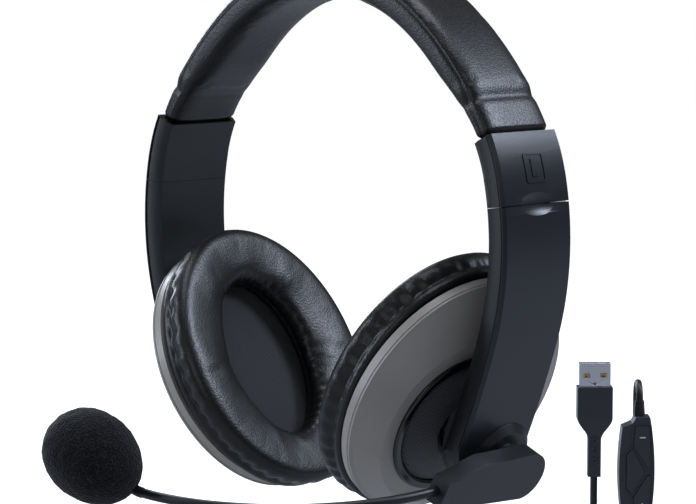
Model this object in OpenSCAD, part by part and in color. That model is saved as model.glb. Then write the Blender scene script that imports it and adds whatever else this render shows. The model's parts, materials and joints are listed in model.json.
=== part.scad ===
// Office headset: sprung headband, two curved size sliders, two gimballed
// ear cups, a microphone boom on the left arm, and a USB cable with an
// in-line remote.
//
// Frame: millimetres, +Z up, the wearer faces -Y, the left ear is at +X.
// Origin: on the centre plane, level with the widest point of the arms.
// The arms and the headband are arcs about axes that are parallel to Y.

/* [Headband] */
// Radius of the headband's sides, outer face
side_r = 118; // [114:1:120]
// Slope angle at which the sides meet the crown
crown_a = 50; // [48:1:54]
// Width of the padded headband, front to back
band_w = 33; // [32.8:0.2:33.6]
// Thickness of the padded headband
band_t = 12.6; // [12:0.2:13]
// Thickness of the sprung steel strip
spring_t = 0.8; // [0.6:0.1:0.8]

/* [Arms] */
// Distance across the outer faces of the arms at their widest
span = 173.2; // [172:0.4:175]
// Width of an arm and its slider, front to back
arm_w = 35; // [34.6:0.2:36]
// Thickness of an arm
arm_t = 8.4; // [8.4:0.1:8.8]
// Thickness of the outer cover plates
cover_t = 1.5; // [1.5:0.1:1.6]
// Radius of the arm's middle, outer face
mid_r = 112; // [110:1:114]
// Radius of the slider's upper part, outer face
up_r = 60; // [58:1:64]

/* [Ear cups] */
// Outer radius of an ear cup
cup_r = 45.4; // [45:0.1:46.4]
// Height of the pivot above the cup's face plane
pivot_h = 6.5; // [6:0.5:7]
// Distance of the pivot below the cup's centre
pivot_drop = 7.6; // [6:0.2:9]
// Thickness of the ear cushion
cushion_t = 13; // [12:0.5:15]
// Radius of the opening in the ear cushion
opening_r = 19.5; // [18:0.5:22]
// Forward swivel of the cup at rest
rest_swivel = 5; // [4:0.5:6]
// Tilt of the cup against the arm at rest
rest_tilt = 3; // [2:0.5:4]

/* [Microphone boom] */
// Radius of the round end of the boom's housing
lever_r = 8.8; // [8.6:0.1:9]
// Thickness of the boom's housing
lever_t = 7; // [6:0.5:8]
// Diameter of the boom tube
tube_d = 3.2; // [2.8:0.1:3.6]
// Bend radius of the boom tube
tube_bend_r = 66.6; // [62:0.2:72]
// Angle through which the boom tube bends
tube_bend_a = 92; // [84:1:96]
// Radius of the foam windscreen
foam_r = 16; // [15:0.5:17]

/* [Cable, remote and plug] */
// Diameter of the cable
cable_d = 2.8; // [2.6:0.1:3]
// Width of the remote
remote_w = 13.8; // [13.4:0.1:15]
// Length of the remote
remote_h = 42.4; // [42:0.2:46]
// Turn of the plug and the remote about Z, from facing forward
desk_turn = 43; // [0:1:90]

/* [Hidden] */
$fn = 96;

// Colours
charcoal = [0.17, 0.18, 0.20];
graphite = [0.22, 0.23, 0.26];
leather = [0.09, 0.09, 0.10];
warm_grey = [0.50, 0.49, 0.48];
steel = [0.78, 0.79, 0.81];
gold = [0.85, 0.66, 0.30];

// Slope angles along an arm, measured about axes parallel to Y
part_a = 7;
part_gap_a = 0.03;
cover_gap_a = 0.09;
up_a = 12.3;
top_a = 26;
low_a = -18;
low_r = 400;
pad_a = 32.5;

// Places on the arms and the headband
function along(a) = [cos(a), 0, sin(a)];
mid_c = [span / 2 - mid_r, 0, 0];
up_c = mid_c + (mid_r - up_r) * along(up_a);
low_c = mid_c + (mid_r - low_r) * along(low_a);
side_c = up_c + (up_r - side_r) * along(top_a);
crown_join = side_c + side_r * along(crown_a);
crown_r = crown_join[0] / cos(crown_a);
crown_c = [0, 0, crown_join[2] - crown_r * sin(crown_a)];

// Clearances
run = 0.06;
fit = 0.1;
seam = 0.2;

// Where two sweeps of one solid meet, one is this much thinner and laps into the other
inset = 0.03;
lap_a = 0.3;
lap = 0.2;

// Chamfers of the arms: the cover plate, the groove below it, the inner edges
cover_edge = 1.1;
groove = 0.6;
edge_w = 1.2;
edge_steep = 2.3;

// Screws
screw_r = 1;
head_r = 1.8;
head_h = 1.2;

// Rail and its springs; depths are measured below the outer face
rail_off = 3.2;
rail_t = 1.6;
rail_w = 14;
rail_top_a = 17.3;
rail_foot_a = -6;
arm_screw_a = [2, -3];
leaf_a = 9.8;
notch_a = 1.4;
leaf_r = 0.5;
leaf_h = 8;
leaf_y = rail_w / 2 + run + leaf_r + 0.1;

// Headband spring and padding; depths are measured below the outer face
spring_off = 5.1;
spring_w = 26;
band_spring_w = 18;
spring_foot_a = 14;
screw_a = 18;
screw_y = 10.2;
neck_foot_a = 23.2;
neck_w = 30;
neck_d0 = 1.5;
neck_d1 = 7.4;
neck_out = 0.2;
neck_out_w = 32.4;
pad_d0 = -0.3;

// Ear mark on the slider
mark_a = 13.2;
mark_back = 0.8;
mark_t = 0.3;
mark_size = 10.1;

// Pivot of the ear cup
pivot_a = -23.5;
pivot_off = arm_t + 7.3;
pivot_fwd = 1;
trunnion_r = 1.5;
lug_y = 5.6;
lug_t = 2.6;
lug_r = 3;
yoke_t = 2.4;
yoke_floor = 1;
yoke_w = 29;
recess_r = 10.4;
yoke_screw_y = 8.3;
hub_r = 24.6;
well_r = 9.6;
crest_r = 32.6;
crest_h = 4.7;
driver_r = 20;

// Boom: boss, lever and tube
tip_a = -23.1;
boss_a = -24.25;
boss_back = 4;
boss_r = 14.5;
boss_top_r = 12;
boss_h = 2.3;
boss_sink = 0.6;
boom_screw_r = 1.5;
boom_screw_l = 5;
post_r = 4;
lever_z = 5.6;
lever_l = 36.5;
lid_t = 0.9;
tube_lead = 5;
tube_end_r = tube_d / 2 + 0.2;
boom_roll = 111.25;
neck_turn = -127;
neck_bend_r = 8;
neck_bend_a = 50;
foam_mid = 15;

// Cable, remote and plug
relief_off = 5;
relief_r = 2.2;
relief_plug = 5;
cable_lead = 12;
cable_bend_r = 25;
remote_c = [14, 149, -104];
remote_half_t = 4.5;
relief_x = 1.2;
plug_c = [2, 138, -62];
loop_z = -146;
plug_h = 44.5;
grip_z = -21.2;
grip_taper = 8.8;

// ---------------------------------------------------------------- helpers

// Sweeps a section about an axis parallel to Y, from angle a0 up to a1
module arc(c, a0, a1, steps = 180) {
    translate(c)
        rotate([90, 0, 0])
            rotate([0, 0, a0])
                rotate_extrude(angle = a1 - a0, $fn = steps)
                    children();
}

// Flat bar section between two depths below a face of radius r.
// c0 is the outer chamfer, c1 the inner one, and steep its rise over its width.
module bar(r, d0, d1, w, c0, c1, steep = 1) {
    polygon([
        [r - d1, w / 2 - c1], [r - d1 + steep * c1, w / 2],
        [r - d0 - c0, w / 2], [r - d0, w / 2 - c0],
        [r - d0, c0 - w / 2], [r - d0 - c0, -w / 2],
        [r - d1 + steep * c1, -w / 2], [r - d1, c1 - w / 2]
    ]);
}

module right_side() {
    mirror([1, 0, 0]) children();
}

// Bar along the arm, from the parting line to past the tip
module arm_bar(d0, d1, w, c0, c1, steep = 1, gap = part_gap_a) {
    arc(mid_c, low_a, part_a - gap) bar(mid_r, d0, d1, w, c0, c1, steep);
    arc(low_c, tip_a - 3, low_a, 720) bar(low_r, d0, d1, w, c0, c1, steep);
}

// Bar along the slider, from the parting line to its top rim
module slider_bar(d0, d1, w, c0, c1, steep = 1, gap = part_gap_a) {
    arc(mid_c, part_a + gap, up_a) bar(mid_r, d0, d1, w, c0, c1, steep);
    arc(up_c, up_a - lap_a, top_a) bar(up_r, d0 + inset, d1 - inset, w - 2 * inset, c0, c1, steep);
}

// Places children on the arm's outer face: Z outward, X up the arm, Y forward
module on_arm(c, r, a) {
    translate(c + r * along(a))
        rotate([0, 90 - a, 0])
            rotate([0, 0, 180])
                children();
}

// The boss is set a little behind the middle of the arm
module at_boss() {
    on_arm(low_c, low_r, boss_a) translate([0, -boss_back, 0]) children();
}

module at_pivot() {
    on_arm(low_c, low_r - pivot_off, pivot_a) translate([0, pivot_fwd, 0]) children();
}

// The spider's frame and the cup's frame, both with their origin at the pivot
module at_spider() {
    at_pivot() rotate([-rest_swivel, 0, 0]) children();
}

module at_cup() {
    at_spider() rotate([0, -rest_tilt, 0]) children();
}

// Cup frame at the centre of the cup's face plane
module at_cup_centre() {
    at_cup() translate([pivot_drop, 0, -pivot_h]) children();
}

// Ring from radius r0 to r1 between heights z0 and z1
module ring(r0, r1, z0, z1) {
    translate([0, 0, z0])
        difference() {
            cylinder(r = r1, h = z1 - z0);
            translate([0, 0, -1]) cylinder(r = r0, h = z1 - z0 + 2);
        }
}

// --------------------------------------------------------------- headband

// Sweep of a bar over the headband, from slope angle a0 on either side
module band_bar(a0, a1, d0, d1, w, c0, c1) {
    for (side = [0, 1])
        mirror([side, 0, 0])
            arc(side_c, a0, a1) bar(side_r, d0, d1, w, c0, c1);
}

module crown_bar(d0, d1, w, c0, c1) {
    arc(crown_c, crown_a - lap_a, 180 - crown_a + lap_a)
        bar(crown_r, d0 + inset, d1 - inset, w - 2 * inset, c0, c1);
}

// Foot of the headband, inside the sliders' top pockets
module neck_foot(d0, d1, w, c0, c1) {
    for (side = [0, 1])
        mirror([side, 0, 0])
            arc(up_c, neck_foot_a, top_a + lap_a) bar(up_r, d0, d1, w, c0, c1);
}

module slider_screw_places() {
    for (y = [-screw_y, screw_y])
        on_arm(up_c, up_r, screw_a) translate([0, y, 0]) children();
}

module headband_spring() {
    color(steel)
        difference() {
            union() {
                band_bar(top_a - lap_a, crown_a, spring_off + inset, spring_off + spring_t - inset,
                         band_spring_w, fit, fit);
                crown_bar(spring_off + inset, spring_off + spring_t - inset, band_spring_w, fit, fit);
                for (side = [0, 1])
                    mirror([side, 0, 0])
                        arc(up_c, spring_foot_a, top_a)
                            bar(up_r, spring_off, spring_off + spring_t, spring_w, fit, fit);
            }
            for (side = [0, 1])
                mirror([side, 0, 0])
                    slider_screw_places()
                        translate([0, 0, -arm_t]) cylinder(r = screw_r + fit, h = arm_t);
        }
}

module headband_cover() {
    inner = spring_off - fit;
    color(leather) {
        neck_foot(neck_d0, inner - 2 * inset, neck_w, 1.2, fit);
        band_bar(top_a, pad_a + lap_a, neck_out, inner - inset, neck_out_w, 2.4, fit);
        band_bar(pad_a, crown_a, pad_d0, inner, band_w, 2.4, fit);
        crown_bar(pad_d0, inner, band_w, 2.4, fit);
    }
}

module headband_foam() {
    foam_d0 = spring_off + spring_t + fit;
    foam_d1 = pad_d0 + band_t;
    color(leather) {
        neck_foot(foam_d0 + 2 * inset, neck_d1, neck_w, fit, 0.3);
        band_bar(top_a, pad_a + lap_a, foam_d0 + inset, neck_d1 + 1.4, neck_out_w, fit, 1.6);
        band_bar(pad_a, crown_a, foam_d0, foam_d1, band_w, fit, 4);
        crown_bar(foam_d0, foam_d1, band_w, fit, 4);
    }
}

// ---------------------------------------------------------------- sliders

// Cavity for the rail, swept about the arm's own arc
module rail_channel(a0, a1, gap) {
    arc(mid_c, a0, a1)
        bar(mid_r, rail_off - gap, rail_off + rail_t + gap, rail_w + 2 * gap, 0.05, 0.05);
}

module neck_pocket() {
    arc(up_c, neck_foot_a - 0.3, top_a + 1)
        bar(up_r, neck_d0 - fit, neck_d1 + fit, neck_w + 4 * fit, 1.2, 0.3);
}

module slider_cavities() {
    rail_channel(part_a - 1, rail_top_a + 0.6, run);
    arc(up_c, spring_foot_a - 0.4, top_a + 1)
        bar(up_r, spring_off - fit, spring_off + spring_t + fit, spring_w + 2 * fit, 0.05, 0.05);
    neck_pocket();
    slider_screw_places() screw_hole();
    leaf_places() cylinder(r = leaf_r + 0.5, h = leaf_h + 2 * fit, center = true);
}

// Shallow finger dimple across the parting line, longer than it is high
module dimple() {
    depth = 1.2;
    tube = 7.2;
    reach = 32.6;
    on_arm(mid_c, mid_r, part_a)
        translate([0, 0, reach - depth])
            rotate([0, 90, 0])
                rotate_extrude() translate([reach - tube, 0]) circle(r = tube);
}

// Rounded square line with a plain ear letter in it
module ear_mark(letter) {
    size = mark_size;
    line = 0.7;
    difference() {
        rounded_square(size, 1.2);
        rounded_square(size - 2 * line, 0.6);
    }
    translate([0, letter == "L" ? 1.3 : -1.3]) square([6, 0.9], center = true);
    if (letter == "L") {
        translate([-2.55, 0]) square([0.9, 3.5], center = true);
    } else {
        translate([1.35, 0.1])
            intersection() {
                difference() {
                    circle(r = 1.65);
                    circle(r = 0.75);
                }
                translate([-2, -1]) square([4, 4]);
            }
        polygon([[0.2, -0.4], [0.2, 0.7], [-3, 2.1], [-3, 1]]);
    }
}

module rounded_square(size, r) {
    square([size, size - 2 * r], center = true);
    square([size - 2 * r, size], center = true);
    for (x = [-1, 1], y = [-1, 1])
        translate([x * (size / 2 - r), y * (size / 2 - r)]) circle(r = r);
}

module slider() {
    color(charcoal)
        difference() {
            slider_bar(cover_t, arm_t, arm_w - 0.6, groove, edge_w, edge_steep);
            slider_cavities();
        }
}

module slider_cover(letter) {
    color(charcoal) {
        difference() {
            slider_bar(0, cover_t, arm_w, cover_edge, seam, gap = cover_gap_a);
            neck_pocket();
            dimple();
        }
        intersection() {
            slider_bar(-mark_t, 0.5, arm_w - 4, fit, fit);
            on_arm(mid_c, mid_r, mark_a)
                translate([0, -mark_back, -3])
                    linear_extrude(height = 8) ear_mark(letter);
        }
    }
}

module slider_screws() {
    color(steel)
        for (side = [0, 1])
            mirror([side, 0, 0])
                slider_screw_places() inner_screw();
}

// Pan-head screw along +Z, its head's top at the origin
module screw(length) {
    difference() {
        union() {
            cylinder(r = head_r, h = head_h);
            cylinder(r = screw_r, h = length);
        }
        for (a = [0, 90])
            rotate([0, 0, a])
                translate([-1, -0.2, -0.1]) cube([2, 0.4, 0.6]);
    }
}

// Screw whose head is hidden below the cover plate, and the hole for it
module inner_screw() {
    translate([0, 0, fit + head_h - rail_off]) rotate([180, 0, 0]) screw(5.6);
}

module screw_hole() {
    translate([0, 0, -arm_t + 0.6]) cylinder(r = screw_r + fit, h = arm_t - cover_t - 0.5);
    translate([0, 0, -rail_off]) cylinder(r = head_r + fit, h = rail_off - cover_t + 0.1);
}

// Round wire springs that give the size clicks, beside each rail
module leaf_places() {
    for (y = [-leaf_y, leaf_y])
        on_arm(mid_c, mid_r, leaf_a)
            translate([0, y, -rail_off - rail_t / 2])
                rotate([0, 90, 0]) children();
}

module detent_springs() {
    color(steel)
        for (side = [0, 1])
            mirror([side, 0, 0])
                leaf_places()
                    difference() {
                        cylinder(r = leaf_r, h = leaf_h, center = true);
                        cylinder(r = leaf_r - 0.15, h = leaf_h + 1, center = true);
                    }
}

// ------------------------------------------------------------------- arms

// The tip of an arm is round
module round_tip(r) {
    intersection() {
        children();
        on_arm(low_c, low_r, tip_a) {
            translate([0, 0, -20]) cylinder(r = r, h = 40);
            translate([0, -r, -40]) cube([120, 2 * r, 60]);
        }
    }
}

module arm_screw_places() {
    for (a = arm_screw_a)
        on_arm(mid_c, mid_r, a) children();
}

module yoke_screw_places() {
    for (y = [-yoke_screw_y, yoke_screw_y])
        at_pivot() translate([0, y, 0]) children();
}

module arm() {
    color(charcoal)
        difference() {
            round_tip(arm_w / 2 - 0.3)
                arm_bar(cover_t, arm_t, arm_w - 0.6, groove, edge_w, edge_steep);
            rail_channel(rail_foot_a - 0.3, part_a + 1, fit);
            arm_screw_places() screw_hole();
            yoke_screw_places() cylinder(r = screw_r + fit, h = pivot_off - 2.2);
            at_boss() translate([0, 0, -boom_screw_l]) cylinder(r = boom_screw_r + fit, h = 10);
            relief_place() translate([0, 0, -relief_plug]) cylinder(r = relief_r + fit, h = 12);
        }
}

module arm_cover(has_boom) {
    color(charcoal)
        difference() {
            round_tip(arm_w / 2) arm_bar(0, cover_t, arm_w, cover_edge, seam, gap = cover_gap_a);
            dimple();
            if (has_boom) {
                at_boss() translate([0, 0, -boss_sink]) cylinder(r = boss_r + fit, h = 5);
                at_boss() translate([0, 0, -5]) cylinder(r = boom_screw_r + fit, h = 6);
            }
        }
}

module rail() {
    color(steel)
        difference() {
            arc(mid_c, rail_foot_a, rail_top_a)
                bar(mid_r, rail_off, rail_off + rail_t, rail_w, fit, fit);
            for (i = [0:5], y = [-rail_w / 2 - 0.2, rail_w / 2 + 0.2])
                on_arm(mid_c, mid_r, leaf_a + i * notch_a)
                    translate([0, y, -rail_off - 4]) cylinder(r = 0.7, h = 5, $fn = 32);
            arm_screw_places()
                translate([0, 0, -arm_t]) cylinder(r = screw_r + fit, h = arm_t);
        }
}

module arm_screws() {
    color(steel) {
        arm_screw_places() inner_screw();
        yoke_screw_places()
            translate([0, 0, pivot_off - arm_t - yoke_floor - head_h]) screw(head_h + yoke_floor + 5.8);
    }
}

// ---------------------------------------------------------- gimbal joint

// Pad on the arm's inner face with two ears; the spider swivels in the ears
module yoke() {
    arm_z = pivot_off - arm_t;
    floor_z = arm_z - yoke_floor;
    face_z = arm_z - yoke_t;
    color(charcoal)
        difference() {
            union() {
                difference() {
                    yoke_pad(arm_z, face_z);
                    at_pivot() translate([0, 0, face_z - 5]) cylinder(r = recess_r, h = floor_z - face_z + 5);
                }
                at_pivot()
                    for (side = [0, 1])
                        mirror([side, 0, 0]) lug(floor_z + 0.4);
            }
            at_pivot()
                rotate([0, 90, 0])
                    cylinder(r = trunnion_r + run, h = 2 * (lug_y + lug_t + 0.5), center = true);
            yoke_screw_places()
                translate([0, 0, floor_z - 1]) cylinder(r = screw_r + fit, h = 5);
        }
}

// Raised pad with a ramp at its upper end, cut to the arm's inner face
module yoke_pad(arm_z, face_z) {
    difference() {
        intersection() {
            at_pivot()
                stand(-yoke_w / 2, yoke_w / 2)
                    polygon([[14.4, arm_z + 2], [14.4, arm_z], [9, face_z],
                             [-20, face_z], [-20, arm_z + 2]]);
            on_arm(low_c, low_r, tip_a) {
                translate([0, 0, -20]) cylinder(r = yoke_w / 2 + 0.5, h = 40);
                translate([0, -yoke_w, -40]) cube([120, 2 * yoke_w, 60]);
            }
        }
        arc(low_c, pivot_a - 6, pivot_a + 6, 720) bar(low_r, -10, arm_t, 2 * yoke_w, fit, fit);
    }
}

// Ear with a round end about the X axis, reaching up to height z1
module lug(z1) {
    translate([lug_y, 0, 0])
        rotate([0, 90, 0]) cylinder(r = lug_r, h = lug_t);
    translate([lug_y, -lug_r, min(0, z1)]) cube([lug_t, 2 * lug_r, abs(z1)]);
}

module spider() {
    reach = lug_y + lug_t - 0.2;
    color(graphite)
        at_spider() {
            cube([8.4, 8.4, 2 * trunnion_r + 2], center = true);
            rotate([0, 90, 0]) cylinder(r = trunnion_r, h = 2 * reach, center = true);
            rotate([90, 0, 0]) cylinder(r = trunnion_r, h = 2 * reach, center = true);
        }
}

module hub() {
    color(charcoal)
        at_cup()
            difference() {
                union() {
                    translate([0, 0, -pivot_h]) {
                        ring(3, hub_r + 3, 0.6, 2.2);
                        ring(well_r, well_r + 1.2, 2, 7.9);
                    }
                    for (side = [0, 1])
                        mirror([0, side, 0]) rotate([0, 0, 90]) lug(-pivot_h + 2);
                }
                rotate([90, 0, 0]) cylinder(r = trunnion_r + run, h = 24, center = true);
            }
}

// ---------------------------------------------------------------- ear cup

// Grey shell: a cone whose crest circle sits below the middle of its rim,
// then a shallow funnel from the crest to the bezel.
// Heights are measured from the cup's face plane.
module cup() {
    color(warm_grey)
        difference() {
            union() {
                at_cup_centre() translate([0, 0, -4]) cylinder(r = cup_r, h = 4.2);
                oblique_cone(cup_r + 0.3, -0.8, crest_r, crest_h);
            }
            at_cup_centre() translate([0, 0, -5]) cylinder(r = cup_r - 1.9, h = 3);
            oblique_cone(cup_r - 1.9, -2.2, crest_r - 2.4, crest_h - 2.2);
            at_cup() translate([0, 0, -pivot_h]) {
                rotate_extrude()
                    polygon([[0, 3.9], [27, 3.9], [crest_r - 0.3, crest_h], [crest_r - 0.3, 20], [0, 20]]);
                cylinder(r = hub_r + 0.5, h = 20);
            }
        }
}

// Cone from a circle about the cup's centre to one about the pivot
module oblique_cone(r0, z0, r1, z1) {
    hull() {
        at_cup_centre() translate([0, 0, z0]) cylinder(r = r0, h = 0.01, $fn = 120);
        at_cup() translate([0, 0, z1 - pivot_h - 0.01]) cylinder(r = r1, h = 0.01, $fn = 120);
    }
}

module bezel() {
    color([0.05, 0.05, 0.06])
        at_cup() translate([0, 0, -pivot_h])
            rotate_extrude()
                polygon([[23.5, 2.4], [hub_r + 0.3, 2.4], [hub_r + 0.3, 4], [26.8, 4],
                         [26.8, 4.7], [26.2, 5.3], [24.4, 5.3], [23.5, 4.4]]);
}

module grille() {
    dome_r = 62;
    dome_top = 9;
    color([0.15, 0.15, 0.17])
        at_cup() translate([0, 0, -pivot_h])
            difference() {
                translate([0, 0, dome_top - dome_r]) sphere(r = dome_r, $fn = 180);
                translate([0, 0, dome_top - dome_r]) sphere(r = dome_r - 0.6, $fn = 180);
                ring(23.4, 200, -200, 200);
                cylinder(r = well_r + 1.3, h = 400, center = true);
                translate([0, 0, -200]) cube([400, 400, 400], center = true);
            }
}

module baffle() {
    color(charcoal)
        at_cup_centre() ring(driver_r + fit, cup_r - 2, -4.3, -2.6);
}

module driver() {
    color([0.3, 0.3, 0.32])
        at_cup_centre()
            rotate_extrude()
                polygon([[0, -4.1], [8, -3.6], [driver_r - 1, -3.6], [driver_r - 1, -4.3],
                         [driver_r, -4.3], [driver_r, -2.6], [17, -1.2], [10, -1.2],
                         [10, 0.2], [0, 0.2]]);
}

module ear_cloth() {
    color([0.06, 0.06, 0.06])
        at_cup_centre() translate([0, 0, -4.9]) cylinder(r = 40, h = 0.5);
}

module cushion() {
    back = -5;
    front = back - cushion_t;
    outer = cup_r;
    color(leather)
        at_cup_centre()
            rotate_extrude()
                polygon([[opening_r + 3, back], [outer - 2, back], [outer, back - 2],
                         [outer, front + 6], [outer - 6, front],
                         [opening_r + 6, front], [opening_r, front + 6],
                         [opening_r, back - 3]]);
}

// -------------------------------------------------------- microphone boom

module boom_boss() {
    color(charcoal)
        at_boss()
            difference() {
                union() {
                    translate([0, 0, -boss_sink + fit]) cylinder(r = boss_r, h = boss_sink);
                    cylinder(r1 = boss_r, r2 = boss_top_r, h = boss_h);
                    cylinder(r = 8, h = lever_z - 0.2);
                    cylinder(r = post_r, h = lever_z + 3);
                }
                translate([0, 0, -2]) cylinder(r = boom_screw_r + fit, h = 20);
            }
}

// Outline of the lever: round at the pivot, narrowing to the tube end
module lever_outline() {
    translate([0.8, -1.6]) circle(r = lever_r);
    polygon([[lever_r + 0.8, -1.6], [lever_r + 0.4, 12], [9.2, 23], [5, 36], [4.2, lever_l + 3],
             [-5, lever_l + 4], [-6.9, 19], [0.8 - lever_r, -1.6]]);
}

module boom_housing() {
    color(charcoal)
        at_boss()
            difference() {
                translate([0, 0, lever_z])
                    linear_extrude(height = lever_t - lid_t) lever_outline();
                cylinder(r = post_r + run, h = 20);
                translate([0, 0, lever_z + 2.6]) cylinder(r = 6, h = 20);
                boom_start() translate([0, 0, -tube_lead - fit])
                    cylinder(r = tube_end_r + fit, h = 30);
            }
}

module boom_lid() {
    color(charcoal)
        at_boss()
            translate([0, 0, lever_z + lever_t - lid_t])
                linear_extrude(height = lid_t) lever_outline();
}

module boom_screw() {
    color(steel)
        at_boss() {
            translate([0, 0, lever_z + 3]) cylinder(r = 5.2, h = 1);
            translate([0, 0, fit - boom_screw_l]) cylinder(r = boom_screw_r, h = boom_screw_l + lever_z + 3.5);
        }
}

// Frame where the tube leaves the housing, Z along the tube
module boom_start() {
    translate([-0.6, lever_l, lever_z + 2.6])
        rotate([-90, 0, 0])
            rotate([0, -4, 0])
                rotate([0, 0, boom_roll])
                    children();
}

// Torus arc from the origin along Z, bending towards X
module bend(r, a, d) {
    translate([r, 0, 0])
        rotate([90, 0, 0])
            rotate([0, 0, 180 - a])
                rotate_extrude(angle = a, $fn = 96)
                    translate([r, 0]) circle(r = d / 2, $fn = 48);
}

module after_bend(r, a) {
    translate([r * (1 - cos(a)), 0, r * sin(a)]) rotate([0, a, 0]) children();
}

module at_boom_end() {
    at_boss()
        boom_start()
            translate([0, 0, 4])
                after_bend(tube_bend_r, tube_bend_a)
                    rotate([0, 0, neck_turn])
                        after_bend(neck_bend_r, neck_bend_a)
                            children();
}

module boom_tube() {
    color(charcoal)
        at_boss()
            boom_start() {
                translate([0, 0, -tube_lead]) cylinder(r = tube_end_r, h = tube_lead + 4, $fn = 48);
                translate([0, 0, 4]) {
                    bend(tube_bend_r, tube_bend_a, tube_d);
                    after_bend(tube_bend_r, tube_bend_a)
                        rotate([0, 0, neck_turn])
                            bend(neck_bend_r, neck_bend_a, 2 * tube_end_r);
                }
            }
}

module mic_collar() {
    color(charcoal)
        at_boom_end() {
            cylinder(r1 = 2.2, r2 = 2.9, h = 1.4);
            translate([0, 0, 1.4]) cylinder(r = 2.9, h = 4.2);
        }
}

module mic_capsule() {
    color(graphite)
        at_boom_end() translate([0, 0, 5.6])
            difference() {
                cylinder(r = 4.4, h = 8);
                for (a = [0:60:300])
                    rotate([0, 0, a]) translate([2.4, 0, 6.5]) cylinder(r = 0.6, h = 3, $fn = 24);
            }
}

module mic_foam() {
    color([0.07, 0.07, 0.08])
        at_boom_end()
            difference() {
                translate([0, 0, foam_mid]) sphere(r = foam_r);
                translate([0, 0, -20]) cylinder(r = 3.2, h = 26);
                translate([0, 0, 5.4]) cylinder(r = 4.6, h = 8.4);
            }
}

// ------------------------------------------------- cable, remote and plug

module relief_place() {
    on_arm(low_c, low_r - relief_off, tip_a)
        translate([-arm_w / 2, 0, 0]) rotate([0, -90, 0]) children();
}

module cable_relief() {
    color(charcoal)
        relief_place()
            difference() {
                union() {
                    translate([0, 0, -relief_plug + fit]) cylinder(r = relief_r, h = relief_plug + 0.4);
                    translate([0, 0, 0.4]) cylinder(r1 = 2.8, r2 = 2.1, h = 9);
                }
                translate([0, 0, -20]) cylinder(r = cable_d / 2 + 0.05, h = 40);
            }
}

module at_remote() {
    translate(remote_c) rotate([0, 0, desk_turn]) children();
}

module at_plug() {
    translate(plug_c) rotate([0, 0, desk_turn]) children();
}

// Cable that runs down, across along X and up again
module u_run(drop, across, rise, r) {
    rotate([180, 0, 0]) {
        cable(drop);
        translate([0, 0, drop]) {
            cable_bend(r, 90);
            after_bend(r, 90) {
                cable(across - 2 * r);
                translate([0, 0, across - 2 * r]) {
                    cable_bend(r, 90);
                    after_bend(r, 90) cable(rise);
                }
            }
        }
    }
}

// Straight cable, which laps into the bends at its ends
module cable(length) {
    translate([0, 0, -lap]) cylinder(r = cable_d / 2, h = length + 2 * lap, $fn = 48);
}

// A bend is a little thinner than the straight cable
module cable_bend(r, a) {
    bend(r, a, cable_d - 2 * inset);
}

module main_cable() {
    turn = -tip_a;
    base = low_c + (low_r - relief_off) * along(tip_a);
    down = [sin(tip_a), 0, -cos(tip_a)];
    hang = base + (arm_w / 2 + cable_lead + cable_bend_r * sin(turn)) * down
        + cable_bend_r * (1 - cos(turn)) * along(tip_a);
    goal = remote_c + relief_x * [cos(desk_turn), sin(desk_turn), 0];
    across = norm([goal[0] - hang[0], goal[1] - hang[1]]);
    loop_r = 14;
    color([0.12, 0.12, 0.13]) {
        relief_place() {
            translate([0, 0, 1 - relief_plug]) cable(relief_plug - 1 + cable_lead);
            translate([0, 0, cable_lead]) cable_bend(cable_bend_r, turn);
        }
        translate(hang)
            rotate([0, 0, atan2(goal[1] - hang[1], goal[0] - hang[0])])
                u_run(hang[2] - loop_z - loop_r, across, goal[2] - remote_h / 2 + 4 - loop_z - loop_r, loop_r);
    }
}

module remote_outline() {
    bulge = 120;
    shoulder = [[-8, 16.6], [-5.6, 17.2], [-1.9, 18.8], [-0.6, 20.9], [0, remote_h / 2],
                [4.9, remote_h / 2], [5.6, 20.7], [8, 16]];
    intersection() {
        translate([remote_w / 2 - bulge, 0]) circle(r = bulge, $fn = 360);
        translate([bulge - remote_w / 2, 0]) circle(r = bulge, $fn = 360);
        polygon(concat(shoulder, [for (i = [len(shoulder) - 1:-1:0]) [shoulder[i][0], -shoulder[i][1]]]));
    }
}

// Button faces, as outlines in the remote's X-Z plane
module volume_face(side) {
    mirror([0, side, 0])
        polygon([[-0.6, 18], [4.8, 17.8], [5.4, 1.7], [4, 1.7], [-1.35, 10.3]]);
}

module mute_face() {
    polygon([[-1.8, 8.9], [-4, 6.4], [-4, -6.4], [-1.8, -8.9], [2.9, 0]]);
}

// Stands an X-Z outline up between depths y0 and y1
module stand(y0, y1) {
    translate([0, y1, 0])
        rotate([90, 0, 0])
            linear_extrude(height = y1 - y0) children();
}

module button_faces() {
    volume_face(0);
    volume_face(1);
    mute_face();
}

module cable_holes() {
    translate([relief_x, 0, 0]) cylinder(r = 1.6, h = 60, center = true);
}

module remote_front() {
    color(graphite)
        at_remote()
            difference() {
                union() {
                    stand(-remote_half_t, 0) remote_outline();
                    stand(-remote_half_t - 0.35, 1 - remote_half_t)
                        difference() {
                            control_panel();
                            offset(delta = -0.5) control_panel();
                        }
                }
                translate([-4.7, 1.2 - remote_half_t, -16]) cube([9.7, 10, 32]);
                stand(-10, 0) offset(delta = 0.15) button_faces();
                cable_holes();
            }
}

// Area inside the raised frame
module control_panel() {
    edge = [[-1.6, 18.6], [-2.1, 10.4], [-5, 7], [-5, -7], [-2.1, -10.4], [-1.6, -18.6]];
    intersection() {
        remote_outline();
        polygon(concat(edge, [[5.9, -18.6], [5.9, 18.6]]));
    }
}

module remote_back() {
    color(graphite)
        at_remote()
            difference() {
                stand(0, remote_half_t) remote_outline();
                translate([-4.7, -1, -16]) cube([9.7, remote_half_t - 0.2, 32]);
                cable_holes();
                remote_screw_places() {
                    translate([0, 0, -4]) cylinder(r = screw_r + fit, h = 10);
                    translate([0, 0, -0.2]) cylinder(r = head_r + fit, h = 5);
                }
            }
}

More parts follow.
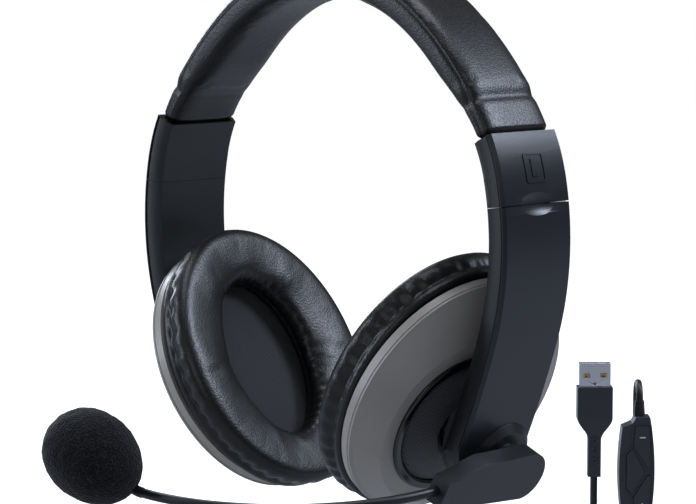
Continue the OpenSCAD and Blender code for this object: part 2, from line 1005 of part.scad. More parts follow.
module remote_screw_places() {
    for (z = [-18, 18])
        translate([2.6 * sign(z) + 0.4, remote_half_t - 1.4, z])
            rotate([-90, 0, 0]) children();
}

module remote_screws() {
    color(steel)
        at_remote()
            remote_screw_places() {
                cylinder(r = head_r, h = head_h);
                translate([0, 0, -2.9]) cylinder(r = screw_r, h = 3);
            }
}

module remote_board() {
    color([0.10, 0.30, 0.18])
        at_remote() {
            translate([-4.6, -0.9, -15.6]) cube([9.4, 1, 31.2]);
            for (p = [[2.8, 9.6], [2.8, -9.6], [-1.2, 0]])
                translate([p[0] - 1.5, -1.7, p[1] - 1.5]) cube([3, 0.9, 3]);
        }
}

// Cap that stands proud, with a flange behind the front wall
module button() {
    stand(-remote_half_t - 0.5, 1.6 - remote_half_t) children();
    stand(1.3 - remote_half_t, 2 - remote_half_t)
        intersection() {
            offset(delta = 0.3) children();
            translate([0.15, 0]) square([9.5, 31.8], center = true);
        }
}

module sign_bar(w, h) {
    stand(-remote_half_t - 0.62, -remote_half_t) square([w, h], center = true);
}

module volume_down_button() {
    color(graphite)
        at_remote() {
            button() volume_face(0);
            translate([2.1, 0, 13.4]) sign_bar(2.2, 0.5);
        }
}

module volume_up_button() {
    color(graphite)
        at_remote() {
            button() volume_face(1);
            translate([2.1, 0, -13.4]) {
                sign_bar(2.2, 0.5);
                sign_bar(0.5, 2.2);
            }
        }
}

module mute_button() {
    color(graphite)
        at_remote() button() mute_face();
}

module remote_reliefs() {
    color(charcoal)
        at_remote()
            for (side = [0, 1])
                mirror([0, 0, side])
                    translate([relief_x, 0, remote_h / 2])
                        difference() {
                            cylinder(r1 = 2.2, r2 = 1.8, h = 6);
                            cylinder(r = cable_d / 2 + 0.05, h = 20, center = true);
                        }
}

module plug_cable() {
    back_r = 6;
    top_z = remote_h / 2 + 6;
    away = plug_c - remote_c;
    goal = [away[0] * cos(desk_turn) + away[1] * sin(desk_turn) - relief_x,
            away[1] * cos(desk_turn) - away[0] * sin(desk_turn) - 2 * back_r];
    low = loop_z - remote_c[2] + 9;
    color([0.12, 0.12, 0.13])
        at_remote()
            translate([relief_x, 0, 0]) {
                translate([0, 0, top_z - 7.6]) cable(7.6);
                translate([0, 0, top_z]) rotate([0, 0, 90]) cable_bend(back_r, 180);
                translate([0, 2 * back_r, top_z])
                    rotate([0, 0, atan2(goal[1], goal[0])])
                        u_run(top_z - low, norm(goal), plug_c[2] - plug_h + 5 - remote_c[2] - low, 9);
            }
}

// Half width of the plug's grip at height z, wide at the top, narrow below
function grip_half(wide, narrow, t) = narrow + (wide - narrow) * (1 + cos(180 * t)) / 2;

module grip_outline(wide, narrow) {
    steps = 12;
    right = concat([[wide, -9.3], [wide, grip_z]],
        [for (i = [1:steps]) [grip_half(wide, narrow, i / steps), grip_z - grip_taper * i / steps]],
        [[narrow, -plug_h]]);
    polygon(concat(right, [for (i = [len(right) - 1:-1:0]) [-right[i][0], right[i][1]]]));
}

module plug_body() {
    color(graphite)
        at_plug()
            difference() {
                union() {
                    intersection() {
                        stand(-10, 10) grip_outline(6.8, 2.5);
                        rotate([0, 0, 90]) stand(-10, 10) grip_outline(4, 2.5);
                    }
                    for (z = [-30, -34, -38], side = [0, 1])
                        mirror([0, side, 0])
                            translate([0, -2.4, z]) rotate([90, 0, 0]) ring(0.6, 1.25, 0, 0.5);
                }
                translate([-6.05, -2.3, -14.1]) cube([12.1, 4.6, 10]);
                translate([0, 0, -plug_h - 1]) cylinder(r = cable_d / 2 + 0.05, h = 6.4);
            }
}

module plug_shell() {
    wall = 0.3;
    color(steel)
        at_plug()
            difference() {
                translate([-6, -2.25, -14]) cube([12, 4.5, 14]);
                translate([wall - 6, wall - 2.25, -13.7]) cube([12 - 2 * wall, 4.5 - 2 * wall, 20]);
                for (x = [-3.2, 3.2])
                    translate([x - 1.3, -5, -5.6]) cube([2.6, 10, 1.9]);
                translate([0, 0, -8]) rotate([90, 0, 0]) cylinder(r = 0.6, h = 10);
            }
}

module plug_tongue() {
    color([0.92, 0.92, 0.90])
        at_plug() translate([-5.6, 0.2, -13.6]) cube([11.2, 1.7, 12.8]);
}

module plug_contacts() {
    color(gold)
        at_plug()
            for (x = [-3.5, -1, 1, 3.5])
                translate([x - 0.5, -0.1, -11]) cube([1, 0.3, 9.4]);
}

headband_spring();
headband_cover();
headband_foam();
slider_screws();
detent_springs();
slider();  // left_slider
right_side() slider();  // right_slider
slider_cover("L");  // left_slider_cover
right_side() slider_cover("R");  // right_slider_cover
arm();  // left_arm
right_side() arm();  // right_arm
arm_cover(true);  // left_arm_cover
right_side() arm_cover(false);  // right_arm_cover
rail();  // left_rail
right_side() rail();  // right_rail
arm_screws();  // left_arm_screws
right_side() arm_screws();  // right_arm_screws
yoke();  // left_yoke
right_side() yoke();  // right_yoke
spider();  // left_spider
right_side() spider();  // right_spider
cup();  // left_cup
right_side() cup();  // right_cup
bezel();  // left_bezel
right_side() bezel();  // right_bezel
grille();  // left_grille
right_side() grille();  // right_grille
hub();  // left_hub
right_side() hub();  // right_hub
baffle();  // left_baffle
right_side() baffle();  // right_baffle
driver();  // left_driver
right_side() driver();  // right_driver
ear_cloth();  // left_ear_cloth
right_side() ear_cloth();  // right_ear_cloth
cushion();  // left_cushion
right_side() cushion();  // right_cushion
boom_boss();
boom_housing();
boom_lid();
boom_screw();
boom_tube();
mic_collar();
mic_capsule();
mic_foam();
cable_relief();
main_cable();
remote_front();
remote_back();
remote_board();
volume_down_button();
volume_up_button();
mute_button();
remote_reliefs();
remote_screws();
plug_cable();
plug_body();
plug_shell();
plug_tongue();
plug_contacts();
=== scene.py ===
"""Looks of the office headset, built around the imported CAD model.

Metres, the CAD row's frame: +Z up, the wearer faces -Y, the left ear is at +X.
The soft pieces (headband sleeve, ear cushions, cloths and foam) are modelled
here in place of their plain CAD solids. Everything else is the CAD geometry
with fine edges and procedural materials.
"""

import json
import math

import bpy
import numpy as np
from mathutils import Matrix, Vector, noise


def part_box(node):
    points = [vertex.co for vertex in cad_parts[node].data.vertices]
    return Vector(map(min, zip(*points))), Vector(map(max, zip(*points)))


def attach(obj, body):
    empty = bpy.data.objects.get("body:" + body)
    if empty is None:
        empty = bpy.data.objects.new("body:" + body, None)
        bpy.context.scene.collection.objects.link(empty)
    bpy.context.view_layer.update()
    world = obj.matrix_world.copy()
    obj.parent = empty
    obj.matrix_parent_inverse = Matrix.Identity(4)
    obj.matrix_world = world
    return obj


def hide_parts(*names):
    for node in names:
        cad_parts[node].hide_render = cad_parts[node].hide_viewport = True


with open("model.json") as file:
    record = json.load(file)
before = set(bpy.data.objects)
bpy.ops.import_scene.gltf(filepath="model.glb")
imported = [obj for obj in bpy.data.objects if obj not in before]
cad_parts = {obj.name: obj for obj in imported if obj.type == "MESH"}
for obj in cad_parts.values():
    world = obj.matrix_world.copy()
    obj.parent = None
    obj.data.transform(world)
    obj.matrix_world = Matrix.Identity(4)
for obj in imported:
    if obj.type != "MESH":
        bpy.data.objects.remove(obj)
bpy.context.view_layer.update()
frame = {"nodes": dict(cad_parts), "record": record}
NODES = frame["nodes"]
MM = 0.001

# ------------------------------------------------------------ dimensions, mm

# Distance across the outer faces of the arms at their widest
SPAN = 173.2
# Radii of the outer face's arcs, from the arms upwards, about axes parallel to Y
MID_R, UP_R, SIDE_R = 112.0, 60.0, 118.0
# Slope angles where the next arc starts: above the arms, at the sliders' tops, at the crown
UP_A, TOP_A, CROWN_A = 12.3, 26.0, 50.0
# Slope angles where the sleeve starts, inside the slider, and where its full padding starts
NECK_A, PAD_A = 24.0, 33.0

# Groove of the sleeve's seam: its depth below the outer face, half its width, and its cut
SEAM_DEPTH, SEAM_HALF_WIDTH, SEAM_CUT = 3.4, 0.45, 0.55

# Ear cushion: half sizes of its oval and of its opening, measured in the cup's plane
CUSHION_HALF_UP, CUSHION_HALF_ACROSS = 48.4, 46.2
OPENING_HALF_UP, OPENING_HALF_ACROSS = 28.5, 21.0
# Number of gathers in its leather, and how far they pull each point of its section in
PUCKERS = 44
PINCH = {6: 0.5, 7: 0.95, 8: 0.5, 9: 0.2, 17: -0.2, 18: -0.45, 19: -0.7, 20: -0.4}
# Points of its section that are glued or sewn down, so that they don't swell
HELD_POINTS = (0, 1, 2, 3, 4, 5, 6, 20, 21, 22)

# Cloth over the speaker: its radius, and the dip at its glued edge
EAR_CLOTH_RADIUS, EAR_CLOTH_DIP = 39.8, 0.2

# Grille: radii of its dome's edges, the radius of the dome itself, and the dip at its rim
GRILLE_INNER, GRILLE_OUTER, GRILLE_DOME, GRILLE_DIP = 10.9, 23.3, 62.0, 0.5

# Remote: its centre, the way its buttons face, and the height of their faces
REMOTE_C = Vector((14.0, 149.0, -104.0))
BUTTON_OUT = Vector((0.681998, -0.731354, 0.0))
BUTTON_FACE = 5.06

# Foam windscreen: half sizes of its egg, and how far it sits back over the collar
FOAM_HALF_LENGTH, FOAM_HALF_WIDTH = 17.6, 14.9
FOAM_BACK = 1.1

# Frames that each cloth simulation runs for
CLOTH_FRAMES = 20

# ---------------------------------------------------------------- materials

# Noise scale and depth (m) of moulded plastic's grain, and how far its tone varies
PLASTIC_GRAIN, GRAIN_DEPTH, TONE = 9000.0, 0.00004, 0.12
# Pattern scales of the leather's pebbles and creases, and of the foam's pores
PEBBLES, CREASES, PORES = 1500.0, 420.0, 1500.0


def colour(text):
    """Linear colour of a #rrggbb text."""
    parts = [int(text[i:i + 2], 16) / 255 for i in (1, 3, 5)]
    linear = [p / 12.92 if p <= 0.04045 else ((p + 0.055) / 1.055) ** 2.4 for p in parts]
    return (*linear, 1.0)


class Shader:
    """A material whose nodes are added one by one."""

    def __init__(self, name):
        self.material = bpy.data.materials.new(name)
        self.material.use_nodes = True
        self.tree = self.material.node_tree
        self.surface = self.tree.nodes["Principled BSDF"]
        self.place = self.add("ShaderNodeTexCoord").outputs["Object"]

    def add(self, kind, **inputs):
        node = self.tree.nodes.new(kind)
        for key, value in inputs.items():
            node.inputs[key.replace("_", " ")].default_value = value
        return node

    def link(self, out, into):
        self.tree.links.new(out, into)

    def set(self, **values):
        for key, value in values.items():
            self.surface.inputs[key.replace("_", " ")].default_value = value

    def noise(self, scale, detail=3.0, rough=0.5):
        node = self.add("ShaderNodeTexNoise", Scale=scale, Detail=detail, Roughness=rough)
        self.link(self.place, node.inputs["Vector"])
        return node.outputs["Fac"]

    def cells(self, scale, smooth=0.4):
        node = self.add("ShaderNodeTexVoronoi", Scale=scale)
        node.feature = "SMOOTH_F1"
        node.inputs["Smoothness"].default_value = smooth
        self.link(self.place, node.inputs["Vector"])
        return node.outputs["Distance"]

    def remap(self, source, low, high):
        node = self.add("ShaderNodeMapRange")
        node.inputs["To Min"].default_value = low
        node.inputs["To Max"].default_value = high
        self.link(source, node.inputs["Value"])
        return node.outputs["Result"]

    def mix(self, factor, first, second):
        node = self.add("ShaderNodeMix")
        node.data_type = "RGBA"
        self.link(factor, node.inputs["Factor"])
        node.inputs["A"].default_value = first
        node.inputs["B"].default_value = second
        return node.outputs["Result"]

    def math(self, operation, first, second=None):
        node = self.add("ShaderNodeMath")
        node.operation = operation
        for socket, value in zip(node.inputs, (first, second)):
            if isinstance(value, (int, float)):
                socket.default_value = value
            elif value is not None:
                self.link(value, socket)
        return node.outputs[0]

    def bump(self, height, strength, depth, after=None):
        node = self.add("ShaderNodeBump", Strength=strength, Distance=depth)
        self.link(height, node.inputs["Height"])
        if after is not None:
            self.link(after, node.inputs["Normal"])
        return node.outputs["Normal"]


def plastic(name, base, rough, grain=GRAIN_DEPTH, coat=0.0):
    """Moulded plastic: fine spark-eroded grain, slight tone and gloss changes."""
    s = Shader(name)
    cloudy = s.remap(s.noise(35.0), 0.35, 0.65)
    light = [min(1.0, c * (1 + TONE)) for c in colour(base)[:3]] + [1.0]
    dark = [c * (1 - TONE) for c in colour(base)[:3]] + [1.0]
    s.link(s.mix(cloudy, dark, light), s.surface.inputs["Base Color"])
    s.link(s.remap(s.noise(60.0), rough - 0.05, rough + 0.06), s.surface.inputs["Roughness"])
    s.link(s.bump(s.noise(PLASTIC_GRAIN, 2.0), 0.35, grain), s.surface.inputs["Normal"])
    s.set(Coat_Weight=coat, Coat_Roughness=0.25)
    return s.material


def leather(name, base, rough):
    """Leatherette: pebbled grain with fine creases."""
    s = Shader(name)
    grain = s.cells(PEBBLES)
    creases = s.noise(CREASES, 5.0, 0.6)
    first = s.bump(grain, 0.45, 0.00012)
    s.link(s.bump(creases, 0.3, 0.00016, first), s.surface.inputs["Normal"])
    light = [c * 1.35 for c in colour(base)[:3]] + [1.0]
    s.link(s.mix(s.noise(25.0), colour(base), light), s.surface.inputs["Base Color"])
    s.link(s.remap(grain, rough - 0.05, rough + 0.12), s.surface.inputs["Roughness"])
    s.set(Specular_IOR_Level=0.55)
    return s.material


def woven(name, base, thread, pitch, rough, depth=0.0002):
    """Cloth woven from two sets of threads, in the piece's own XY plane."""
    s = Shader(name)
    split = s.add("ShaderNodeSeparateXYZ")
    s.link(s.place, split.inputs[0])
    waves = []
    for axis in ("X", "Y"):
        turn = s.math("MULTIPLY", split.outputs[axis], 2 * math.pi / pitch)
        waves.append(s.math("SINE", turn))
    weave = s.math("MULTIPLY", waves[0], waves[1])
    amount = s.remap(weave, 0.0, 1.0)
    s.link(s.mix(amount, colour(base), colour(thread)), s.surface.inputs["Base Color"])
    s.link(s.bump(weave, 0.7, depth), s.surface.inputs["Normal"])
    s.set(Roughness=rough, Sheen_Weight=0.25, Sheen_Roughness=0.5)
    return s.material


def foam(name, base, speck):
    """Open-cell foam: dark pores with lighter cell walls."""
    s = Shader(name)
    pores = s.cells(PORES, 0.2)
    amount = s.remap(pores, -0.3, 1.1)
    s.link(s.mix(amount, colour(base), colour(speck)), s.surface.inputs["Base Color"])
    s.link(s.bump(pores, 1.0, 0.0004), s.surface.inputs["Normal"])
    s.set(Roughness=0.95, Specular_IOR_Level=0.2, Sheen_Weight=0.15, Sheen_Roughness=0.4)
    return s.material


def metal(name, base, rough):
    """Brushed metal, with fine scratches along the row's X axis."""
    s = Shader(name)
    stretch = s.add("ShaderNodeMapping")
    stretch.inputs["Scale"].default_value = (0.05, 1.0, 1.0)
    s.link(s.place, stretch.inputs["Vector"])
    lines = s.add("ShaderNodeTexNoise", Scale=4000.0, Detail=2.0)
    s.link(stretch.outputs["Vector"], lines.inputs["Vector"])
    s.link(s.remap(lines.outputs["Fac"], rough - 0.08, rough + 0.1), s.surface.inputs["Roughness"])
    s.link(s.bump(lines.outputs["Fac"], 0.2, 0.00003), s.surface.inputs["Normal"])
    s.set(Base_Color=colour(base), Metallic=1.0)
    return s.material


def printed(name, base, rough, axis, edge):
    """Button plastic whose raised signs, past edge along axis, are white."""
    s = Shader(name)
    along = s.add("ShaderNodeVectorMath")
    along.operation = "DOT_PRODUCT"
    along.inputs[1].default_value = axis
    s.link(s.place, along.inputs[0])
    raised = s.math("GREATER_THAN", along.outputs["Value"], edge)
    s.link(s.mix(raised, colour(base), colour("#e8eaf0")), s.surface.inputs["Base Color"])
    s.link(s.bump(s.noise(PLASTIC_GRAIN, 2.0), 0.35, GRAIN_DEPTH), s.surface.inputs["Normal"])
    s.set(Roughness=rough)
    return s.material


MATERIALS = {
    "charcoal": plastic("charcoal", "#16181b", 0.36),
    "cover": plastic("cover", "#1f2227", 0.31),
    "graphite": plastic("graphite", "#34363e", 0.4),
    "warm_grey": plastic("warm_grey", "#aaa6a1", 0.34),
    "gloss_black": plastic("gloss_black", "#09090b", 0.14, grain=0.00001, coat=0.5),
    "leather": leather("leather", "#08090a", 0.36),
    "mesh_cloth": woven("mesh_cloth", "#0e0f12", "#6d6e76", 0.0011, 0.55),
    "ear_cloth": woven("ear_cloth", "#242528", "#36373b", 0.0008, 0.95, 0.0001),
    "foam": foam("foam", "#060708", "#2b2d31"),
    "cable": plastic("cable", "#15161a", 0.45, grain=0.00005),
    "tube": plastic("tube", "#16181c", 0.4, grain=0.00005),
    "speaker": plastic("speaker", "#4b4b50", 0.5),
    "steel": metal("steel", "#c6c9ce", 0.28),
    "plug_steel": metal("plug_steel", "#dcdce4", 0.2),
    "board": plastic("board", "#1b4a2c", 0.4),
    "tongue": plastic("tongue", "#e8e8e4", 0.4),
    "gold": metal("gold", "#d8a84c", 0.25),
}


def dress(obj, slot):
    obj.data.materials.clear()
    obj.data.materials.append(MATERIALS[slot])


# ---------------------------------------------------------- CAD pieces' finish

# Width in mm of the rounding on sharp edges, by material slot, and for all other slots
EDGE_WIDTH = {"charcoal": 0.25, "cover": 0.2, "warm_grey": 0.35, "gloss_black": 0.2}
OTHER_EDGE_WIDTH = 0.12
# Points closer than this, in metres, become one: on CAD pieces, and at the windscreen's poles
WELD_DISTANCE, POLE_WELD_DISTANCE = 0.000002, 0.00001
SLOTS = {row["node"]: row["material_slot"] for row in frame["record"]["subparts"]}


def fine_edges(obj, width):
    """Shades the piece smoothly, and adds modifiers that weld it and round its sharp edges."""
    for attribute in [a for a in obj.data.attributes if a.name == "custom_normal"]:
        obj.data.attributes.remove(attribute)
    for face in obj.data.polygons:
        face.use_smooth = True
    weld = obj.modifiers.new("weld", "WELD")
    weld.merge_threshold = WELD_DISTANCE
    bevel = obj.modifiers.new("edges", "BEVEL")
    bevel.width = width * MM
    bevel.segments = 2
    bevel.limit_method = "ANGLE"
    bevel.angle_limit = math.radians(28)
    bevel.harden_normals = True


for node_name, slot_name in SLOTS.items():
    dress(NODES[node_name], slot_name)
    fine_edges(NODES[node_name], EDGE_WIDTH.get(slot_name, OTHER_EDGE_WIDTH))

face_at = (REMOTE_C.dot(BUTTON_OUT) + BUTTON_FACE) * MM
signs = printed("printed", "#34363e", 0.36, BUTTON_OUT, face_at)
for node_name in ("volume_up_button", "volume_down_button"):
    NODES[node_name].data.materials[0] = signs

# -------------------------------------------------------------- mesh helpers


def make_object(name, points, faces, slot, body, place=Matrix.Identity(4)):
    mesh = bpy.data.meshes.new(name)
    mesh.from_pydata([tuple(p) for p in points], [], faces)
    mesh.update()
    obj = bpy.data.objects.new(name, mesh)
    bpy.context.scene.collection.objects.link(obj)
    for face in mesh.polygons:
        face.use_smooth = True
    obj.matrix_world = place
    dress(obj, slot)
    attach(obj, body)
    return obj


def tube_faces(rows, columns, closed_rows):
    """Quads of a grid whose columns close on themselves, and its rows too if asked."""
    faces = []
    for i in range(rows if closed_rows else rows - 1):
        for j in range(columns):
            following = (j + 1) % columns
            below = (i + 1) % rows
            faces.append((i * columns + j, i * columns + following,
                          below * columns + following, below * columns + j))
    return faces


def puff(obj, pinned, pressure, slack, cap):
    """No vertex moves further than cap. slack is the share by which the cover is longer
    than its pattern, which makes wrinkles.
    """
    group = obj.vertex_groups.new(name="pinned")
    group.add(pinned, 1.0, "REPLACE")
    cloth = obj.modifiers.new("cloth", "CLOTH")
    cloth.settings.use_pressure = True
    cloth.settings.uniform_pressure_force = pressure
    cloth.settings.effector_weights.gravity = 0
    cloth.settings.vertex_group_mass = "pinned"
    cloth.settings.shrink_min = -slack
    cloth.settings.bending_stiffness = 0.2
    scene = bpy.context.scene
    for step in range(1, CLOTH_FRAMES + 1):
        scene.frame_set(step)
    seen = obj.evaluated_get(bpy.context.evaluated_depsgraph_get())
    after = np.array([v.co for v in seen.data.vertices])
    before = np.array([v.co for v in obj.data.vertices])
    move = after - before
    length = np.maximum(np.linalg.norm(move, axis=1), 1e-9)
    move *= np.minimum(1.0, cap * MM / length)[:, None]
    obj.modifiers.remove(cloth)
    obj.data.vertices.foreach_set("co", (before + move).astype(np.float32).ravel())
    obj.data.update()
    scene.frame_set(1)


def refine(obj):
    """Adds one level of subdivision."""
    smooth = obj.modifiers.new("smooth", "SUBSURF")
    smooth.levels = 1
    smooth.render_levels = 1


def thicken(obj, thickness, offset):
    """Gives a sheet its thickness: behind its surface for offset -1, in front for 1."""
    solid = obj.modifiers.new("thickness", "SOLIDIFY")
    solid.thickness = thickness * MM
    solid.offset = offset


# ---------------------------------------------------------- headband sleeve


def along(angle):
    """Unit vector (x, z) at a slope angle above the X axis."""
    return np.array([math.cos(math.radians(angle)), math.sin(math.radians(angle))])


MID_C = np.array([SPAN / 2 - MID_R, 0.0])
UP_C = MID_C + (MID_R - UP_R) * along(UP_A)
SIDE_C = UP_C + (UP_R - SIDE_R) * along(TOP_A)
CROWN_JOIN = SIDE_C + SIDE_R * along(CROWN_A)
CROWN_R = CROWN_JOIN[0] / math.cos(math.radians(CROWN_A))
CROWN_C = np.array([0.0, CROWN_JOIN[1] - CROWN_R * math.sin(math.radians(CROWN_A))])


def outer_face(angle):
    """Point (x, z) on the headband's outer face at a slope angle of up to 90 degrees."""
    if angle < TOP_A:
        return UP_C + UP_R * along(angle)
    if angle < CROWN_A:
        return SIDE_C + SIDE_R * along(angle)
    return CROWN_C + CROWN_R * along(angle)


def ease(x):
    """Smooth step from 0 to 1 as x goes from 0 to 1."""
    x = min(1.0, max(0.0, x))
    return x * x * (3 - 2 * x)


def sleeve_size(angle):
    """Width, outer depth and inner depth of the sleeve at a slope angle."""
    # It swells out of the slider, has a crease before its padding, and thickens to the crown
    swell = ease((angle - TOP_A - 0.1) / 1.0)
    pad = ease((angle - PAD_A) / 2.0)
    thicken = ease((angle - TOP_A - 1.0) / 16.0)
    crease = math.exp(-((angle - PAD_A + 0.4) / 0.7) ** 2)
    width = 29.6 + 2.8 * swell + 0.6 * pad - 0.5 * crease
    outer = 1.75 - 1.5 * swell - 0.6 * pad + 0.45 * crease
    inner = 7.0 + 1.3 * swell + 4.0 * thicken - 0.15 * crease
    return width, outer, inner


def sleeve_section(width, outer, inner, count):
    """Closed outline (y, depth), rounded, with a seam groove along both edges."""
    outline = []
    for j in range(count):
        t = 2 * math.pi * (j + 0.5) / count
        y = math.copysign(abs(math.cos(t)) ** 0.42, math.cos(t)) * width / 2
        d = math.copysign(abs(math.sin(t)) ** 0.62, math.sin(t))
        depth = (outer + inner) / 2 + d * (inner - outer) / 2
        at_side = abs(math.cos(t)) > 0.6
        seam = math.exp(-((depth - outer - SEAM_DEPTH) / SEAM_HALF_WIDTH) ** 2) * at_side
        outline.append((y - math.copysign(SEAM_CUT * seam, y), depth))
    return outline


def headband_sleeve():
    """One padded sleeve over the whole top, held at its necks and along its seams."""
    columns = 56
    rising = [NECK_A + 0.5 * i for i in range(int((TOP_A - NECK_A) / 0.5))]
    angle = TOP_A
    while angle < 90.0:
        rising.append(angle)
        near_crease = abs(angle - PAD_A) < 3 or angle < TOP_A + 2
        angle += 0.35 if near_crease else 0.9
    stations = [(a, 1) for a in rising] + [(90.0, 1)] + [(a, -1) for a in reversed(rising)]
    points = []
    for angle, side in stations:
        face = outer_face(angle)
        out = along(angle)
        for y, depth in sleeve_section(*sleeve_size(angle), columns):
            x, z = face - depth * out
            points.append((side * x * MM, y * MM, z * MM))
    rows = len(stations)
    faces = tube_faces(rows, columns, False)
    faces.append(tuple(range(columns)))
    faces.append(tuple((rows - 1) * columns + j for j in reversed(range(columns))))
    sleeve = make_object("headband_sleeve", points, faces, "leather", "headband")
    seam_columns = (3, columns // 2 - 4, columns // 2 + 3, columns - 4)
    pinned = []
    for i, (angle, side) in enumerate(stations):
        on_neck = angle < PAD_A + 1.5
        for j in range(columns):
            if on_neck or j in seam_columns:
                pinned.append(i * columns + j)
    puff(sleeve, pinned, 4.0, 0.002, 0.3)
    refine(sleeve)
    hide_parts("headband_cover", "headband_foam")


headband_sleeve()

# ---------------------------------------------------------------- ear cups


def ring_place(node, side):
    """Place of a flat round CAD node, with X up in its plane and Z outward along its axis,
    and the lowest and highest points of the node along Z, in metres."""
    co = np.array([v.co for v in NODES[node].data.vertices])
    middle = (co.max(0) + co.min(0)) / 2
    spread = np.linalg.svd(co - co.mean(0), full_matrices=False)[2]
    axis = Vector(spread[2])
    if axis.x * side < 0:
        axis = -axis
    up = Vector((0, 0, 1))
    up = (up - up.dot(axis) * axis).normalized()
    across = axis.cross(up)
    heights = (co - middle) @ np.array(axis)
    place = Matrix.Translation(Vector(middle)) @ Matrix((up, across, axis)).transposed().to_4x4()
    return place, heights.min(), heights.max()


def cushion_profile(front, back):
    """(share of the way from opening to rim, height) of the cushion's section, in mm."""
    skirt = back - 3.6
    return [
        (0.14, back), (0.5, back), (0.86, back), (0.95, back - 0.2), (0.965, back - 1.4),
        (0.965, back - 2.6), (0.95, skirt), (0.97, skirt - 0.7), (1.0, skirt - 2.0),
        (1.005, skirt - 3.8), (0.98, skirt - 6.0), (0.92, front + 1.4), (0.82, front + 0.3),
        (0.68, front - 0.1), (0.52, front), (0.36, front + 0.4), (0.22, front + 1.5),
        (0.1, front + 3.3), (0.03, front + 5.6), (0.02, back - 5.0), (0.07, back - 4.0),
        (0.05, back - 3.0), (0.07, back - 1.4),
    ]


def cushion(node, body, side):
    """Stuffed leather ring, its section drawn round an oval and gathered at its seams."""
    place, low, high = ring_place(node, side)
    profile = cushion_profile(low / MM, high / MM)
    columns = len(profile)
    rows = 176
    points = []
    for i in range(rows):
        t = 2 * math.pi * i / rows
        pucker = 0.5 + 0.5 * math.cos(PUCKERS * t + 2.5 * math.sin(3 * t))
        for j, (share, height) in enumerate(profile):
            pinch = PINCH.get(j, 0.0) * (1 - pucker)
            up = OPENING_HALF_UP + share * (CUSHION_HALF_UP - OPENING_HALF_UP)
            across = OPENING_HALF_ACROSS + share * (CUSHION_HALF_ACROSS - OPENING_HALF_ACROSS)
            x = (up - pinch) * math.cos(t)
            y = (across - pinch) * math.sin(t)
            points.append((x * MM, y * MM, height * MM))
    faces = tube_faces(rows, columns, True)
    obj = make_object(node + "_soft", points, faces, "leather", body, place)
    pinned = [i * columns + j for i in range(rows) for j in HELD_POINTS]
    puff(obj, pinned, 4.0, 0.03, 1.2)
    refine(obj)
    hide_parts(node)


def ear_cloth(node, body, side):
    """Stretched cloth over the speaker: a disc, slightly rippled, that dips where it is glued."""
    place, _, high = ring_place(node, side)
    rings, columns = 26, 120
    points = [(0.0, 0.0, high)]
    for i in range(1, rings + 1):
        share = i / rings
        radius = EAR_CLOTH_RADIUS * share
        height = -EAR_CLOTH_DIP * max(0.0, (share - 0.93) / 0.07) ** 2
        for j in range(columns):
            t = 2 * math.pi * j / columns
            ripple = 0.05 * math.sin(18 * t) * share ** 6
            x = radius * math.cos(t)
            y = radius * math.sin(t)
            points.append((x * MM, y * MM, high + (height + ripple) * MM))
    faces = [(0, 1 + (j + 1) % columns, 1 + j) for j in range(columns)]
    for i in range(rings - 1):
        for j in range(columns):
            a = 1 + i * columns + j
            b = 1 + i * columns + (j + 1) % columns
            faces.append((a, b, b + columns, a + columns))
    obj = make_object(node + "_soft", points, faces, "ear_cloth", body, place)
    thicken(obj, 0.3, -1.0)
    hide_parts(node)


def grille(node, body, side):
    """Woven dome between the bezel and the middle well, its rim tucked under the bezel."""
    place, _, high = ring_place(node, side)
    rings, columns = 16, 120
    start = math.sqrt(GRILLE_DOME ** 2 - GRILLE_INNER ** 2)
    points = []
    for i in range(rings + 1):
        share = i / rings
        radius = GRILLE_INNER + share * (GRILLE_OUTER - GRILLE_INNER)
        height = math.sqrt(GRILLE_DOME ** 2 - radius ** 2) - start
        height -= GRILLE_DIP * max(0.0, (share - 0.85) / 0.15) ** 2
        for j in range(columns):
            t = 2 * math.pi * j / columns
            x = radius * math.cos(t)
            y = radius * math.sin(t)
            points.append((x * MM, y * MM, high + height * MM))
    faces = tube_faces(rings + 1, columns, False)
    obj = make_object(node + "_soft", points, faces, "mesh_cloth", body, place)
    thicken(obj, 0.4, 1.0)
    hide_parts(node)


for side_name, side_sign in (("left", 1), ("right", -1)):
    cup_body = side_name + "_cup"
    cushion(side_name + "_cushion", cup_body, side_sign)
    grille(side_name + "_grille", cup_body, side_sign)
    ear_cloth(side_name + "_ear_cloth", cup_body, side_sign)

# ------------------------------------------------------------ microphone foam


def windscreen():
    """Egg of open-cell foam with a slightly lumpy skin."""
    low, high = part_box("mic_foam")
    collar_low, collar_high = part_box("mic_collar")
    centre = (low + high) / 2
    axis = (centre - (collar_low + collar_high) / 2).normalized()
    centre -= FOAM_BACK * MM * axis
    ring_count, columns = 64, 96
    points = []
    for i in range(ring_count + 1):
        t = math.pi * i / ring_count
        for j in range(columns):
            s = 2 * math.pi * j / columns
            width = FOAM_HALF_WIDTH * math.sin(t) * (1 + 0.05 * math.cos(t))
            length = FOAM_HALF_LENGTH * math.cos(t)
            point = Vector((width * math.cos(s), width * math.sin(s), length))
            lump = 0.25 * noise.noise(point * 0.35) + 0.12 * noise.noise(point * 1.6)
            points.append((point + point.normalized() * lump) * MM)
    faces = tube_faces(ring_count + 1, columns, False)
    place = Matrix.Translation(centre) @ axis.to_track_quat("Z", "Y").to_matrix().to_4x4()
    egg = make_object("mic_foam_soft", points, faces, "foam", "boom", place)
    # All points of the first and last rings coincide, and the weld makes them one
    weld = egg.modifiers.new("weld", "WELD")
    weld.merge_threshold = POLE_WELD_DISTANCE
    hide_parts("mic_foam")


windscreen()

# ------------------------------------------------------------- stage, camera

# How bright the surroundings are to the camera, and to everything else
ROOM_SEEN, ROOM_LIGHT = 1.0, 0.09
# How bright the floor glows to the camera, and half its side in metres
FLOOR_GLOW, FLOOR_HALF = 0.97, 3.0

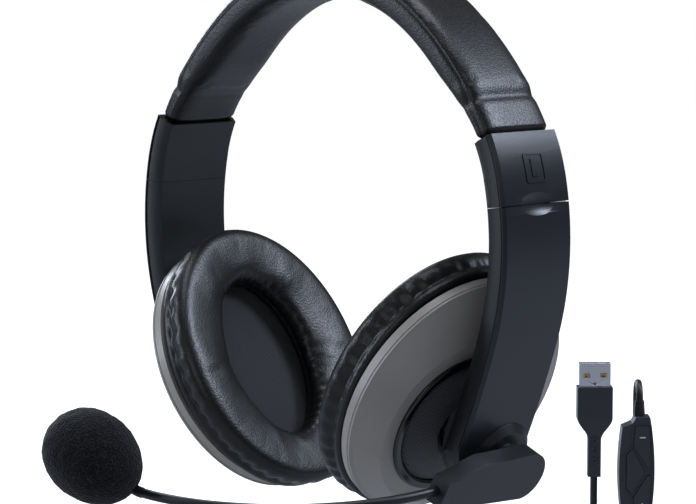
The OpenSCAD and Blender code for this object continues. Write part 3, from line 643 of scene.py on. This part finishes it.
# Camera: how far round from the front and how far up it stands, its distance and aim in
# metres, and its lens in mm
AZIMUTH, ELEVATION = math.radians(43), math.radians(6)
DISTANCE = 1.023
AIM = Vector((0, 0, -0.0085))
LENS = 150.6


def softbox(name, place, aim, size, power, tint):
    """Rectangular light at place, turned towards aim."""
    light = bpy.data.lights.new(name, "AREA")
    light.shape = "RECTANGLE"
    light.size, light.size_y = size
    light.energy = power
    light.color = colour(tint)[:3]
    obj = bpy.data.objects.new(name, light)
    bpy.context.scene.collection.objects.link(obj)
    obj.location = place
    obj.rotation_euler = (Vector(aim) - Vector(place)).to_track_quat("-Z", "Y").to_euler()


def seen_only_by_camera(tree, camera_value, other_value):
    """A value that is camera_value for camera rays and other_value for all others."""
    path = tree.nodes.new("ShaderNodeLightPath")
    choose = tree.nodes.new("ShaderNodeMapRange")
    choose.inputs["To Min"].default_value = other_value
    choose.inputs["To Max"].default_value = camera_value
    tree.links.new(path.outputs["Is Camera Ray"], choose.inputs["Value"])
    return choose.outputs["Result"]


def studio():
    """Surroundings white to the camera, large soft boxes that light the object, and a floor."""
    world = bpy.data.worlds.new("studio")
    world.use_nodes = True
    background = world.node_tree.nodes["Background"]
    background.inputs["Color"].default_value = colour("#ffffff")
    strength = seen_only_by_camera(world.node_tree, ROOM_SEEN, ROOM_LIGHT)
    world.node_tree.links.new(strength, background.inputs["Strength"])
    bpy.context.scene.world = world
    bpy.context.scene.view_settings.view_transform = "Standard"
    aim = (0.0, 0.0, -0.01)
    softbox("top", (0.0, 0.1, 0.95), aim, (0.7, 0.5), 5.0, "#eef3ff")
    softbox("front", (0.75, -1.3, 0.55), aim, (0.9, 0.5), 2.4, "#f4f7ff")
    softbox("left_front", (-0.95, -0.95, 0.5), aim, (0.35, 1.0), 9.0, "#e6f0ff")
    softbox("left_rim", (-1.0, 0.35, 0.3), aim, (0.4, 1.2), 10.0, "#e6f0ff")
    softbox("right_high", (0.8, 0.85, 0.85), aim, (0.5, 0.5), 13.0, "#e0ecff")
    low = min(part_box(name)[0].z for name in NODES)
    corners = [(x * FLOOR_HALF, y * FLOOR_HALF, low) for x, y in ((-1, -1), (1, -1), (1, 1), (-1, 1))]
    mesh = bpy.data.meshes.new("floor")
    mesh.from_pydata(corners, [], [(0, 1, 2, 3)])
    floor = bpy.data.objects.new("floor", mesh)
    bpy.context.scene.collection.objects.link(floor)
    s = Shader("floor")
    s.set(Base_Color=colour("#a9abae"), Roughness=0.7, Specular_IOR_Level=0.1,
          Emission_Color=colour("#ffffff"))
    glow = seen_only_by_camera(s.tree, FLOOR_GLOW, 0.0)
    s.link(glow, s.surface.inputs["Emission Strength"])
    mesh.materials.append(s.material)


def camera():
    """Looks from the wearer's front left, a little above."""
    level = math.cos(ELEVATION)
    back = Vector((math.sin(AZIMUTH) * level, -math.cos(AZIMUTH) * level, math.sin(ELEVATION)))
    data = bpy.data.cameras.new("camera")
    data.sensor_width = 36.0
    data.lens = LENS
    obj = bpy.data.objects.new("camera", data)
    bpy.context.scene.collection.objects.link(obj)
    obj.location = AIM + back * DISTANCE
    obj.rotation_euler = (-back).to_track_quat("-Z", "Y").to_euler()
    bpy.context.scene.camera = obj


studio()
camera()
